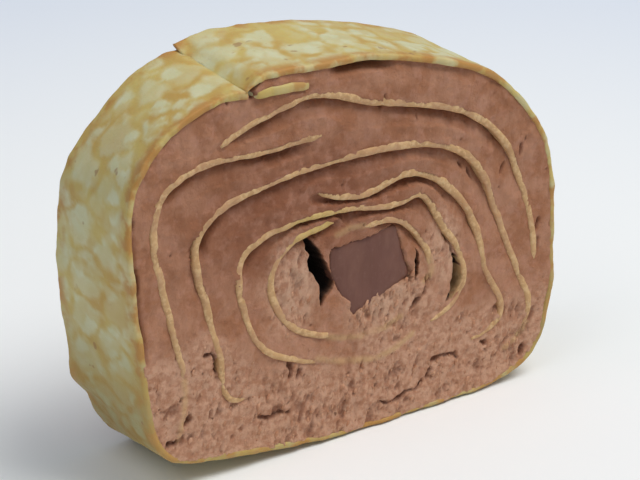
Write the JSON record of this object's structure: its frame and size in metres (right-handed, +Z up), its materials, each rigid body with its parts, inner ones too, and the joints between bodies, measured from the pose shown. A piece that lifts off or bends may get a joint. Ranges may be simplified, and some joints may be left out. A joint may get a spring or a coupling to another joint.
{
  "type": "crepe cake roll slice",
  "caption": "Upright slice of a rolled crepe cake: thin crepes wound in chocolate cream round a block of chocolate.",
  "frame": {"origin": "centre of the bounding box in plan, at the bottom face that the slice rests on", "axes": "+Z up; Y along the axis of the roll, the shown cut facing -Y; X across the cut, the tight rounded shoulder on +X"},
  "size_m": [0.0752, 0.0186, 0.06],
  "materials": {
    "crepe_skin": "soft cooked batter, pale blisters in a golden brown net",
    "crepe": "cut edge of a thin golden crepe",
    "chocolate_cream": "dull whipped chocolate cream with small pores",
    "chocolate": "smooth soft chocolate with a low sheen"
  },
  "bodies": {
    "root": {"outer_crepe": "crepe_skin", "upper_crepe": "crepe", "left_crepe": "crepe", "middle_crepe": "crepe", "right_crepe": "crepe", "core_crepe": "crepe", "core_left_crepe": "crepe", "core_right_crepe": "crepe", "chocolate_cream": "chocolate_cream", "chocolate_block": "chocolate"}
  },
  "joints": []
}
